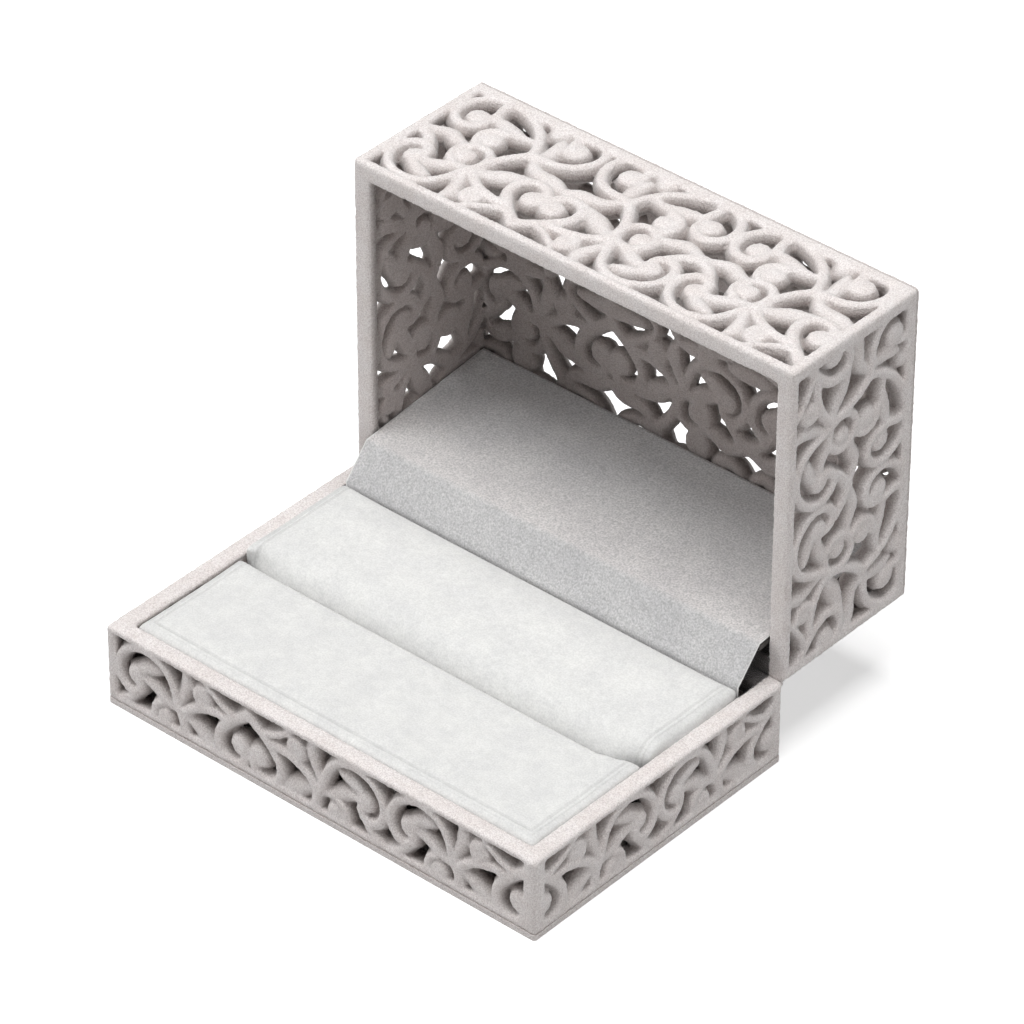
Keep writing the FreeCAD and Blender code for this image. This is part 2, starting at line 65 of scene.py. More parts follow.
BASE_LOW, BASE_HIGH = node_box("base_bottom_plate")
LEFT, FRONT = BASE_LOW[0], BASE_LOW[1]
RIGHT, BACK = BASE_HIGH[0], BASE_HIGH[1]
PLATE_TOP = BASE_HIGH[2]
RIM = node_box("base_front_wall")[1][2]
BASE_WALL = node_box("base_front_wall")[1][1] - FRONT
LID_RIM = node_box("lid_front_wall")[0][1]
LID_TOP = node_box("lid_top_panel")[1][1]
LID_CEILING = node_box("lid_front_wall")[1][2]
LID_WALL = LID_CEILING - node_box("lid_front_wall")[0][2]
INNER_TOP = LID_TOP - LID_WALL
WIDTH = RIGHT - LEFT
DEPTH = BACK - FRONT


# ---------------------------------------------------------------- materials
class Nodes:
    """A material's node tree, with short calls for the nodes used here."""

    def __init__(self, name, roughness):
        self.material = bpy.data.materials.new(name)
        self.material.use_nodes = True
        self.tree = self.material.node_tree
        self.shader = self.tree.nodes["Principled BSDF"]
        self.place = self.tree.nodes.new("ShaderNodeTexCoord").outputs["Object"]
        self.set({"Roughness": roughness})

    def set(self, values):
        """Sets the shader's own sockets."""
        for key, value in values.items():
            self.shader.inputs[key].default_value = value

    def node(self, kind, **values):
        made = self.tree.nodes.new(kind)
        for key, value in values.items():
            setattr(made, key, value)
        return made

    def link(self, source, target):
        self.tree.links.new(source, target)

    def noise(self, size, detail=2.0, roughness=0.5, stretch=None):
        """Noise whose grains are about this size, in metres."""
        made = self.node("ShaderNodeTexNoise")
        made.inputs["Scale"].default_value = 1 / size
        made.inputs["Detail"].default_value = detail
        made.inputs["Roughness"].default_value = roughness
        place = self.place
        if stretch:
            mapping = self.node("ShaderNodeMapping")
            mapping.inputs["Scale"].default_value = stretch
            self.link(place, mapping.inputs["Vector"])
            place = mapping.outputs["Vector"]
        self.link(place, made.inputs["Vector"])
        return made.outputs["Fac"]

    def ramp(self, source, low, high, first, second):
        """Colour that goes from first to second as source goes from low to high."""
        return self.shade(source, [(low, *first[:3]), (high, *second[:3])])

    def attribute(self, name):
        """Number kept with each vertex, 0 where a mesh has none."""
        return self.node("ShaderNodeAttribute", attribute_name=name).outputs["Fac"]

    def math(self, operation, first, second):
        """Arithmetic on a socket and a number or socket."""
        made = self.node("ShaderNodeMath", operation=operation)
        for value, place in ((first, made.inputs[0]), (second, made.inputs[1])):
            if isinstance(value, (int, float)):
                place.default_value = value
            else:
                self.link(value, place)
        return made.outputs[0]

    def split(self):
        """Sockets for the object's own x, y and z."""
        made = self.node("ShaderNodeSeparateXYZ")
        self.link(self.place, made.inputs[0])
        return made.outputs

    def line(self, distance, centre, half):
        """1 where distance is within half of centre, fading to 0 at twice that."""
        off = self.math("ABSOLUTE", self.math("SUBTRACT", distance, centre), 0.0)
        made = self.node("ShaderNodeMapRange")
        made.inputs["From Min"].default_value = 2 * half
        made.inputs["From Max"].default_value = half
        self.link(off, made.inputs["Value"])
        return made.outputs["Result"]

    def shade(self, source, stops):
        """Colour that follows a list of (position, red, green, blue)."""
        made = self.node("ShaderNodeValToRGB")
        steps = made.color_ramp.elements
        while len(steps) < len(stops):
            steps.new(0.5)
        for step, (position, *colour) in zip(steps, stops):
            step.position = position
            step.color = (*colour, 1)
        self.link(source, made.inputs["Fac"])
        return made.outputs["Color"]

    def mix(self, way, amount, first, second):
        """Colour mix. amount is a number or a socket."""
        made = self.node("ShaderNodeMix", data_type="RGBA", blend_type=way)
        if isinstance(amount, float):
            made.inputs["Factor"].default_value = amount
        else:
            self.link(amount, made.inputs["Factor"])
        self.link(first, made.inputs[6])
        self.link(second, made.inputs[7])
        return made.outputs[2]

    def times(self, *colours):
        """Product of colours."""
        product = colours[0]
        for colour in colours[1:]:
            product = self.mix("MULTIPLY", 1.0, product, colour)
        return product

    def bump(self, *layers):
        """Chain of bumps from (height socket, distance in metres, strength)."""
        normal = None
        for height, distance, strength in layers:
            made = self.node("ShaderNodeBump")
            made.inputs["Distance"].default_value = distance
            made.inputs["Strength"].default_value = strength
            self.link(height, made.inputs["Height"])
            if normal:
                self.link(normal, made.inputs["Normal"])
            normal = made.outputs["Normal"]
        self.link(normal, self.shader.inputs["Normal"])

    def colour(self, socket):
        self.link(socket, self.shader.inputs["Base Color"])


def srgb(red, green, blue):
    """Scene colour of an 8-bit display colour."""
    def linear(value):
        value /= 255
        return value / 12.92 if value <= 0.04045 else ((value + 0.055) / 1.055) ** 2.4
    return (linear(red), linear(green), linear(blue), 1.0)


# Painted shade: share of the flock's colour left at each depth of a wall, from outside to inside,
# darkening the openwork's recesses and the walls' inner faces
PAINTED_RECESS_SHADE = [
    (0.1, 1.0, 1.0, 1.0),
    (0.45, 0.42, 0.395, 0.385),
    (0.72, 0.42, 0.395, 0.385),
    (0.97, 0.60, 0.57, 0.56),
]
PAD_SIDE_SHADE = [(0.0, 1.0, 1.0, 1.0), (1.0, 0.16, 0.155, 0.15)]   # painted shade: share of the velvet's colour left down a pad's sides
PAINTED_SHADOW_COLOUR = (0.09, 0.085, 0.085)   # painted shadow: share of the colour left near the hinge and in the pocket behind the lining
PIPING_IN = 0.0014        # from a pad's side to the fold line in its velvet, metres
GUTTER_PAST = 0.0005      # from that line to the painted shade of the gutter beside it
CROWN_SEAM_IN = 0.00065   # from the lid's closed end to the fine line round it


def flocked_plastic():
    """Short warm grey fibre with a salt-and-pepper grain, with painted shade deep in the openwork
    and painted shadow near the hinge.
    """
    m = Nodes("flocked_plastic", 0.95)
    m.set({"Sheen Weight": 0.5, "Sheen Roughness": 0.5, "Specular IOR Level": 0.15})
    grain = m.noise(0.00022, 1.0)
    patches = m.noise(0.004, 3.0)
    grains = m.ramp(grain, 0.34, 0.66, srgb(222, 214, 212), srgb(253, 248, 246))
    tints = m.ramp(patches, 0.35, 0.65, srgb(250, 248, 247), srgb(255, 255, 255))
    # painted shade: darker deep in the openwork and on the walls' inner faces
    depth = m.shade(m.attribute("depth"), PAINTED_RECESS_SHADE)
    # painted shadow near the hinge and in the pocket behind the lining
    painted_shadow = m.shade(m.attribute("painted_shadow"), [(0.3, 1, 1, 1), (0.7, *PAINTED_SHADOW_COLOUR)])
    seam = m.line(m.split()["Y"], LID_TOP * MM - CROWN_SEAM_IN, 0.0001)
    seam = m.shade(seam, [(0, 1, 1, 1), (1, 0.7, 0.68, 0.67)])
    m.colour(m.times(grains, tints, depth, painted_shadow, seam))
    m.bump((grain, 0.00025, 0.8), (m.noise(0.0007, 2.0), 0.00015, 0.6))
    return m.material


def white_velvet(half_width, front):
    """Soft white velvet with a fold line round its edge, painted shade in the gutter beside it, and
    painted shade low on a pad's sides.
    """
    m = Nodes("white_velvet", 0.9)
    m.set({"Sheen Weight": 0.5, "Sheen Roughness": 0.4, "Specular IOR Level": 0.1})
    nap = m.noise(0.005, 4.0, 0.6)
    strokes = m.noise(0.0011, 3.0, 0.6)
    fibre = m.noise(0.00028, 1.5)
    patches = m.ramp(nap, 0.36, 0.64, srgb(231, 231, 230), srgb(238, 238, 236))
    streaks = m.ramp(strokes, 0.34, 0.66, srgb(247, 247, 247), srgb(255, 255, 255))
    specks = m.ramp(fibre, 0.32, 0.68, srgb(240, 240, 240), srgb(255, 255, 255))
    # painted shade, darker low on a pad's sides
    depth = m.shade(m.attribute("depth"), PAD_SIDE_SHADE)
    place = m.split()
    side = m.math("SUBTRACT", half_width, m.math("ABSOLUTE", place["X"], 0.0))
    edge = m.math("MINIMUM", side, m.math("SUBTRACT", place["Y"], front))
    fold = m.line(edge, PIPING_IN, 0.0002)
    # painted shade along the gutter beside the fold line
    gutter_shade = m.line(edge, PIPING_IN + GUTTER_PAST, 0.00018)
    gutter_shade = m.shade(gutter_shade, [(0, 1, 1, 1), (1, 0.9, 0.9, 0.9)])
    m.colour(m.times(patches, streaks, specks, depth, gutter_shade))
    m.bump((fibre, 0.00009, 0.6), (strokes, 0.00012, 0.4), (fold, 0.0002, 0.5))
    return m.material


def grey_velvet(half_width):
    """Light grey velveteen: painted light makes it lighter and warmer just past the crease, fading
    to darker deeper in the lid; its cut ends are pale.
    """
    m = Nodes("grey_velvet", 0.92)
    m.set({"Sheen Weight": 0.3, "Sheen Roughness": 0.5, "Specular IOR Level": 0.1})
    grain = m.noise(0.0003, 1.5)
    strokes = m.noise(0.0012, 3.0, 0.6)
    clouds = m.noise(0.009, 3.0)
    grains = m.ramp(grain, 0.3, 0.7, srgb(206, 207, 207), srgb(248, 248, 248))
    streaks = m.ramp(strokes, 0.3, 0.7, srgb(244, 244, 244), srgb(255, 255, 255))
    tints = m.ramp(clouds, 0.35, 0.65, srgb(244, 244, 245), srgb(255, 255, 255))
    # painted light: lighter and warmer just past the crease, darker deeper in the lid
    nap = m.shade(m.attribute("nap"), [(0.0, 0.86, 0.85, 0.85), (1.0, 1.0, 0.965, 0.955)])
    reach = m.math("ABSOLUTE", m.split()["X"], 0.0)
    edge = m.node("ShaderNodeMapRange")
    edge.inputs["From Min"].default_value = half_width - 0.00025
    edge.inputs["From Max"].default_value = half_width - 0.0001
    m.link(reach, edge.inputs["Value"])
    pale = m.node("ShaderNodeRGB")
    pale.outputs[0].default_value = srgb(246, 245, 243)
    base = m.times(grains, streaks, tints, nap)
    m.colour(m.mix("MIX", edge.outputs["Result"], base, pale.outputs[0]))
    m.bump((grain, 0.00012, 0.7), (strokes, 0.00015, 0.3), (clouds, 0.0003, 0.2))
    return m.material


def card(name, darkest, palest):
    """Pasteboard."""
    m = Nodes(name, 0.85)
    fibres = m.noise(0.0012, 5.0, 0.65)
    m.colour(m.ramp(fibres, 0.35, 0.65, darkest, palest))
    m.bump((fibres, 0.0001, 0.3))
    return m.material


def hinge_steel():
    """Nickel-plated sheet steel, brushed along the hinge."""
    m = Nodes("hinge_steel", 0.35)
    m.set({"Metallic": 1.0})
    brushed = m.noise(0.0004, 3.0, stretch=(0.05, 1.0, 1.0))
    m.colour(m.ramp(brushed, 0.3, 0.7, srgb(176, 174, 170), srgb(206, 204, 200)))
    m.bump((brushed, 0.00002, 0.3))
    return m.material


FLOOR_GLOW = 0.5          # on rays that show the floor, so that it looks white
FLOOR_GREY = (0.6, 0.6, 0.6, 1.0)   # what the floor throws back onto the object


def floor_paint():
    """White floor: a plain pale surface that goes to white where no shadow falls."""
    m = Nodes("floor", 0.9)
    m.set({"Specular IOR Level": 0.0})
    soft = m.noise(0.4, 2.0)
    plain = m.ramp(soft, 0.3, 0.7, FLOOR_GREY, FLOOR_GREY)
    white = m.ramp(soft, 0.3, 0.7, srgb(243, 243, 243), srgb(246, 246, 246))
    path = m.node("ShaderNodeLightPath").outputs
    direct = m.math("MAXIMUM", path["Is Camera Ray"], path["Is Glossy Ray"])
    seen = m.math("MAXIMUM", direct, path["Is Transmission Ray"])
    m.colour(m.mix("MIX", seen, plain, white))
    m.set({"Emission Color": (1, 1, 1, 1)})
    m.link(m.math("MULTIPLY", seen, FLOOR_GLOW), m.shader.inputs["Emission Strength"])
    return m.material


flock = flocked_plastic()
velvet = white_velvet(node_box("front_velvet")[1][0] * MM, node_box("front_velvet")[0][1] * MM)
pasteboard = card("pasteboard", srgb(214, 211, 205), srgb(232, 230, 225))
grey_board = card("grey_board", srgb(66, 63, 61), srgb(84, 81, 79))
steel = hinge_steel()

# ---------------------------------------------------------------- openwork, millimetres
VOXEL = 0.4    # of the shells' grids
EDGE_ROUND = 0.5          # outside edges of both shells
LEDGE_ROUND = 0.1         # the two edges that meet at the hinge
LEDGE = 1.0               # width of the strip along them
INSIDE_ROUND = 0.3        # where a wall's inside meets its rim
SEAM_ROUND = 0.3          # where the base meets its bottom plate
BAND_ROUND = 0.5          # frame bands, towards the openwork
CREST = 0.05              # scroll bars' tops lie this far below the frame's face
LEAF_CREST = 0.3          # the same for leaves
DOME = 0.62               # a broad leaf or bud is rounded no deeper than this
FOOT = 0.52               # a bar spreads this far to each side, deep in the wall
FOOT_TOP = 0.7            # it starts to spread this far below the frame's face
FOOT_REACH = 1.0          # and is at its widest this much deeper
FOOT_END = 1.9            # from this depth on it narrows again
FOOT_CUT = 0.8            # by this share
WELD = 0.15               # where two bars meet, the corner is filled this far
INNER_DOME = 0.8          # rounding of the bars towards the inside
FLOCK = 0.035             # unevenness of the flocked surface
FLOCK_MOST = 0.06         # and its limit, so that shut rims stay apart
EMPTY = -0.8              # field value away from every bar
GRID_START = 1.25         # voxels outside a shell, so that no face lies on a sample
GRID_SPARE = 4            # samples beyond a shell's size, at both ends together
BUD_LENGTH = 0.01         # a bud is a bar of next to no length

# One cell of the ornament: s runs from the heart axis to the scroll axis at CELL, t from
# the rim. Every second cell is mirrored. A bar is its middle line's points (s, t, width).
CELL = 27.4
BARS = [
    # heart, from the rim to its curled end
    [(0.0, 3.3, 2.2), (2.2, 5.0, 1.9), (4.3, 6.9, 1.8), (5.9, 8.9, 1.9), (6.3, 11.0, 1.9),
     (5.6, 12.8, 1.9), (4.0, 13.6, 1.8), (2.2, 13.4, 1.7), (0.9, 12.3, 1.8), (0.8, 10.9, 1.9)],
    # low stem from the heart to the middle node
    [(4.2, 6.3, 1.7), (7.0, 6.3, 1.8), (9.8, 7.1, 1.7), (11.8, 8.2, 1.7), (13.6, 9.8, 1.8)],
    # strut from the heart's foot to the rim
    [(3.4, 4.9, 1.3), (5.4, 4.2, 1.3), (7.0, 3.1, 1.2), (8.3, 2.2, 1.0), (9.2, 0.8, 1.2)],
    # hook that ends in the small bud
    [(8.7, 6.7, 1.6), (10.2, 6.0, 1.6), (10.6, 4.6, 1.6), (9.9, 3.4, 1.5), (8.7, 3.1, 1.3)],
    # large lower scroll
    [(13.9, 10.2, 1.9), (14.8, 8.4, 1.7), (15.3, 6.6, 1.6), (16.2, 4.6, 1.6), (17.7, 3.0, 1.6),
     (19.8, 2.2, 1.6), (22.0, 2.2, 1.5), (24.2, 3.0, 1.5), (25.9, 4.6, 1.5), (26.7, 6.7, 1.6),
     (26.5, 8.9, 1.7), (25.4, 10.4, 1.8), (23.9, 10.8, 1.8), (22.6, 10.1, 1.8),
     (22.2, 8.9, 1.8)],
    # stem from the scroll axis into that scroll
    [(27.4, 14.2, 2.4), (25.6, 13.2, 2.0), (24.0, 11.9, 1.6), (22.9, 10.4, 1.4)],
    # small middle scroll
    [(13.9, 10.4, 1.7), (13.6, 12.3, 1.5), (14.0, 14.2, 1.5), (15.4, 15.4, 1.5),
     (17.2, 15.3, 1.5), (18.8, 14.2, 1.6), (19.5, 12.4, 1.6), (19.0, 10.7, 1.4),
     (17.8, 10.0, 1.2)],
    # long stem up into the upper left scroll
    [(14.0, 9.9, 2.0), (13.3, 11.8, 1.7), (12.9, 13.4, 1.6), (12.2, 15.2, 1.7),
     (11.0, 17.0, 1.8), (9.6, 18.4, 1.9), (7.6, 18.9, 1.7), (5.2, 19.1, 1.7), (2.9, 20.2, 1.7),
     (1.4, 22.2, 1.7), (0.9, 24.5, 1.6), (1.5, 26.6, 1.6), (3.2, 27.9, 1.6), (5.4, 27.9, 1.6),
     (6.8, 26.6, 1.6), (6.9, 25.2, 1.5)],
    # large upper scroll
    [(9.9, 18.4, 1.8), (10.2, 20.0, 1.6), (11.2, 22.2, 1.6), (12.8, 24.2, 1.6),
     (15.0, 25.8, 1.6), (17.6, 26.9, 1.6), (20.4, 27.4, 1.6), (23.0, 27.2, 1.6),
     (25.2, 25.9, 1.6), (26.5, 23.8, 1.6), (26.7, 21.6, 1.6), (26.0, 19.7, 1.6),
     (24.3, 18.6, 1.8), (22.4, 18.8, 1.8), (21.1, 20.2, 1.7), (21.0, 21.8, 1.6)],
    # strut between that scroll and the leaf inside it
    [(20.9, 27.2, 1.8), (21.2, 25.6, 1.7), (20.9, 24.2, 1.7), (20.6, 22.8, 1.8)],
    # hook that carries the middle bud
    [(16.2, 20.6, 1.6), (18.3, 20.0, 1.7), (19.3, 18.3, 1.6), (18.9, 16.6, 1.6),
     (18.0, 15.6, 1.6)],
]
LEAVES = [
    # teardrop at the rim
    [(14.2, 8.5, 1.0), (13.6, 6.8, 1.8), (12.9, 5.0, 2.4), (12.6, 3.4, 2.6), (12.9, 1.8, 1.6)],
    # two leaves inside the large lower scroll
    [(14.8, 9.9, 1.6), (16.8, 9.4, 2.2), (18.6, 8.4, 2.6), (20.2, 7.7, 2.2), (21.8, 7.6, 1.4)],
    [(23.0, 6.6, 1.8), (21.6, 5.7, 2.2), (20.0, 5.0, 2.4), (18.4, 4.6, 1.4)],
    # leaf over the small middle scroll
    [(19.0, 14.4, 1.6), (21.0, 14.8, 2.4), (22.9, 15.7, 2.6), (24.6, 15.5, 2.2),
     (26.4, 14.6, 2.2)],
    # leaf above the heart
    [(0.4, 14.6, 2.0), (2.6, 15.7, 2.8), (5.0, 15.9, 2.6), (7.0, 16.4, 2.2), (8.6, 18.0, 1.6)],
    # broad leaf from the heart to the middle node
    [(5.2, 13.6, 1.6), (7.4, 12.9, 2.6), (9.2, 12.0, 3.4), (10.8, 11.0, 2.8),
     (12.6, 10.2, 1.6)],
    # upright leaf beside the upper left scroll
    [(8.3, 18.9, 1.8), (8.0, 20.6, 2.4), (8.0, 22.3, 2.8), (8.3, 23.8, 2.2), (8.6, 24.8, 1.2)],
    # bud that hangs from the far band
    [(10.2, 28.8, 3.6), (10.4, 27.2, 4.2), (10.6, 25.8, 2.6)],
    # leaf inside the large upper scroll
    [(12.2, 21.8, 1.4), (14.4, 21.6, 2.2), (16.6, 22.0, 3.0), (18.6, 22.6, 2.6),
     (20.4, 22.9, 1.8)],
]
# Leaves on the top panel's middle line only
MIDDLE = [
    [(0.0, 0.8, 2.8), (2.6, 0.8, 2.4), (5.0, 0.8, 1.8), (6.6, 0.8, 1.0)],
    [(13.8, 0.8, 1.2), (16.2, 0.8, 2.4), (18.6, 0.8, 2.2), (20.6, 0.8, 1.2)],
    [(23.6, 0.8, 1.2), (25.4, 0.8, 2.4), (27.4, 0.8, 2.8)],
]
# Round buds (s, t, width)
BUDS = [
    (1.9, 10.0, 4.0), (8.9, 4.6, 3.0), (23.1, 7.5, 3.6), (17.2, 12.3, 3.4), (5.4, 24.0, 4.2),
    (22.9, 21.6, 3.8), (17.0, 18.1, 3.8),
]
LONG_END = 1.45           # from a corner to the pattern's first axis on a wide wall
SHORT_END = 0.5           # the same on a side wall
BASE_SHIFT = -0.8         # the base and the top panel start this much into the pattern
BASE_STRETCH = 14.6 / 14.4
LID_STRETCH = 29.6 / 29.2
TOP_STRETCH = 28.2 / 28.0

BASE_RIM_BAND = 1.1
LID_RIM_BAND = 1.6
BACK_BAND = 2.4           # rim band of both back walls, which holds the hinge's notch
POST_BAND = 1.8           # beside a corner
FRONT_POST = 2.5          # the same at the base's front right corner and the lid's top
CROWN_BAND = 2.6          # beside the lid's closed top edge
FOOT_BAND = 1.2           # above the bottom plate


def ease(value):
    """Soft step from 0 to 1."""
    value = np.clip(value, 0, 1)
    return value * value * (3 - 2 * value)


def smooth_max(a, b, reach):
    """Union of two fields, with the crease between them filled."""
    near = np.maximum(reach - np.abs(a - b), 0) / reach
    return np.maximum(a, b) + near * near * reach / 4


def smooth_min(a, b, reach):
    """Common part of two fields, with the edge between them rounded."""
    return -smooth_max(-a, -b, reach)


def curve_through(points, steps=4):
    """Catmull-Rom curve through rows of numbers."""
    p = np.array(points, float)
    p = np.vstack([2 * p[0] - p[1], p, 2 * p[-1] - p[-2]])
    u = (np.arange(steps) / steps)[:, None]
    rows = []
    for a, b, c, d in zip(p, p[1:], p[2:], p[3:]):
        rows.append(0.5 * (2 * b + (c - a) * u + (2 * a - 5 * b + 4 * c - d) * u ** 2
                           + (3 * b - a - 3 * c + d) * u ** 3))
    return np.vstack(rows + [p[-2:-1]])


def bar_field(s, t, u, line, crest, thickness):
    """Round-topped bar along a line of (s, t, width), over arrays of places."""
    start, end = line[:-1], line[1:]
    way = end[:, :2] - start[:, :2]
    length2 = np.maximum((way ** 2).sum(1), 1e-9)
    at_s = s[:, None, None] - start[:, 0]
    at_t = t[None, :, None] - start[:, 1]
    along = np.clip((at_s * way[:, 0] + at_t * way[:, 1]) / length2, 0, 1)
    apart = np.hypot(at_s - along * way[:, 0], at_t - along * way[:, 1])
    radius = (start[:, 2] + along * (end[:, 2] - start[:, 2])) / 2
    best = np.argmax(radius - apart, axis=2)[..., None]
    apart = np.take_along_axis(apart, best, 2)
    radius = np.take_along_axis(radius, best, 2)
    dome = np.minimum(radius, DOME)
    rise = np.maximum(crest + dome - u, 0) * radius / dome
    rise = np.maximum(rise, u - thickness + INNER_DOME)
    foot = FOOT * ease((u - FOOT_TOP) / FOOT_REACH)
    foot = foot * (1 - FOOT_CUT * ease((u - FOOT_END) / FOOT_REACH))
    return radius + foot - np.hypot(apart, rise)


def directions(line):
    """Unit steps along a row of (y, z) places."""
    way = np.gradient(line, axis=0)
    return way / np.hypot(way[:, 0], way[:, 1])[:, None]


def band_field(apart, u, band):
    """Frame band: solid where apart from its edge is less than band."""
    past = np.maximum(apart - band + BAND_ROUND, 0)
    rise = np.maximum(BAND_ROUND - u, 0)
    return BAND_ROUND - np.hypot(past, rise)


def openwork(s, t, u, wall, thickness):
    """Field of one wall's frame and scrollwork, from its coordinate rows."""
    field = np.full((len(s), len(t), len(u)), EMPTY)
    length, height = wall["length"], wall["height"]
    depth = u[None, None, :]
    for edge, band in ((s, wall["posts"][0]), (length - s, wall["posts"][1])):
        field = np.maximum(field, band_field(edge[:, None, None], depth, band))
    for edge, band in ((t, wall["rim_band"]), (height - t, wall["far_band"])):
        field = smooth_max(field, band_field(edge[None, :, None], depth, band), WELD)
    scale = (length - 2 * wall["end"]) / (wall["cells"] * CELL)
    pieces = [(bar, CREST) for bar in BARS] + [(leaf, LEAF_CREST) for leaf in LEAVES]
    pieces += [([(s0, t0, w), (s0 + BUD_LENGTH, t0, w)], CREST) for s0, t0, w in BUDS]
    pieces += [(leaf, LEAF_CREST) for leaf in wall["middle"]]
    for points, crest in pieces:
        line = curve_through(points)
        for cell in range(wall["cells"]):
            forwards = (cell % 2 == 0) == wall["heart_first"]
            start, way = (cell, 1) if forwards else (cell + 1, -1)
            for half, mirror in wall["rows"]:
                placed = line.copy()
                placed[:, 0] = wall["end"] + (start * CELL + way * line[:, 0]) * scale
                placed[:, 1] = half + mirror * (line[:, 1] + wall["shift"]) * wall["stretch"]
                reach = placed[:, 2].max() / 2 + FOOT - EMPTY
                low, high = placed[:, :2].min(0) - reach, placed[:, :2].max(0) + reach
                i = slice(*np.searchsorted(s, (low[0], high[0])))
                j = slice(*np.searchsorted(t, (low[1], high[1])))
                if i.start < i.stop and j.start < j.stop:
                    piece = bar_field(s[i], t[j], depth, placed, crest, thickness)
                    field[i, j] = smooth_max(field[i, j], piece, WELD)
    return field


PLAIN = dict(rows=((0, 1),), posts=(POST_BAND, POST_BAND), middle=())


def wall(along, down, inward, **layout):
    """One wall's layout. along, down and inward are (axis, direction, start)."""
    return dict(PLAIN, along=along, down=down, inward=inward, **layout)


X, Y, Z = 0, 1, 2
base_height = RIM - PLATE_TOP
lid_height = LID_TOP - LID_RIM
wide = dict(length=WIDTH, end=LONG_END, heart_first=False, cells=3)
side = dict(length=DEPTH, end=SHORT_END, heart_first=True, cells=2)
low = dict(height=base_height, shift=BASE_SHIFT, stretch=BASE_STRETCH, far_band=FOOT_BAND)
tall = dict(height=lid_height, shift=0.0, stretch=LID_STRETCH, far_band=CROWN_BAND)
BASE_WALLS = [
    wall((X, 1, LEFT), (Z, -1, RIM), (Y, 1, FRONT), rim_band=BASE_RIM_BAND,
         posts=(POST_BAND, FRONT_POST), **wide, **low),
    wall((X, -1, RIGHT), (Z, -1, RIM), (Y, -1, BACK), rim_band=BACK_BAND, **wide, **low),
    wall((Y, -1, BACK), (Z, -1, RIM), (X, 1, LEFT), rim_band=BASE_RIM_BAND, **side, **low),
    wall((Y, 1, FRONT), (Z, -1, RIM), (X, -1, RIGHT), rim_band=BASE_RIM_BAND,
         posts=(FRONT_POST, POST_BAND), **side, **low),
]
LID_WALLS = [
    wall((X, 1, LEFT), (Y, 1, LID_RIM), (Z, -1, LID_CEILING), rim_band=LID_RIM_BAND, **wide,
         **tall),
    wall((X, -1, RIGHT), (Y, 1, LID_RIM), (Z, 1, RIM), rim_band=BACK_BAND, **wide, **tall),
    wall((Z, 1, RIM), (Y, 1, LID_RIM), (X, 1, LEFT), rim_band=LID_RIM_BAND,
         posts=(POST_BAND, FRONT_POST), **side, **tall),
    wall((Z, -1, LID_CEILING), (Y, 1, LID_RIM), (X, -1, RIGHT), rim_band=LID_RIM_BAND,
         posts=(FRONT_POST, POST_BAND), **side, **tall),
    wall((X, 1, LEFT), (Z, 1, RIM), (Y, -1, LID_TOP), rim_band=CROWN_BAND,
         far_band=CROWN_BAND, height=DEPTH, shift=BASE_SHIFT, stretch=TOP_STRETCH,
         rows=((DEPTH / 2, 1), (DEPTH / 2, -1)), middle=MIDDLE, **wide),
]


def box_field(axes, low, high, rounding):
    """Field of a box with rounded edges, over a grid's three coordinate rows."""
    outside, inside = 0.0, None
    for axis, (row, a, b) in enumerate(zip(axes, low, high)):
        shape = [1, 1, 1]
        shape[axis] = -1
        past = (np.abs(row - (a + b) / 2) - (b - a) / 2 + rounding).reshape(shape)
        outside = outside + np.maximum(past, 0) ** 2
        inside = past if inside is None else np.maximum(inside, past)
    return rounding - np.sqrt(outside) - np.minimum(inside, 0)


def carve(field, axes, layout, thickness):
    """Opens a shell's field along one wall."""
    order = [layout[k][0] for k in ("along", "down", "inward")]
    rows = []
    for axis, way, start in (layout["along"], layout["down"], layout["inward"]):
        rows.append(way * (axes[axis] - start))
    s, t, u = rows
    near = np.abs(u - thickness / 2) < thickness / 2 + 2 * VOXEL
    flips = [slice(None, None, -1) if row[0] > row[-1] else slice(None) for row in rows]
    work = openwork(s[flips[0]], t[flips[1]], u[near], layout, thickness)
    work = work[flips[0], flips[1]]
    work = np.maximum(work, (u[near] - thickness)[None, None, :])
    place = np.argsort(order)
    index = [slice(None)] * 3
    index[order[2]] = near
    field[tuple(index)] = np.minimum(field[tuple(index)], work.transpose(place))


def grid_over(low, high, voxel):
    """Coordinate rows of a voxel grid round a box, with its faces between samples."""
    rows = []
    for a, b in zip(low, high):
        count = int(round((b - a) / voxel)) + GRID_SPARE
        rows.append(a + voxel * (np.arange(count) - GRID_START))
    return rows


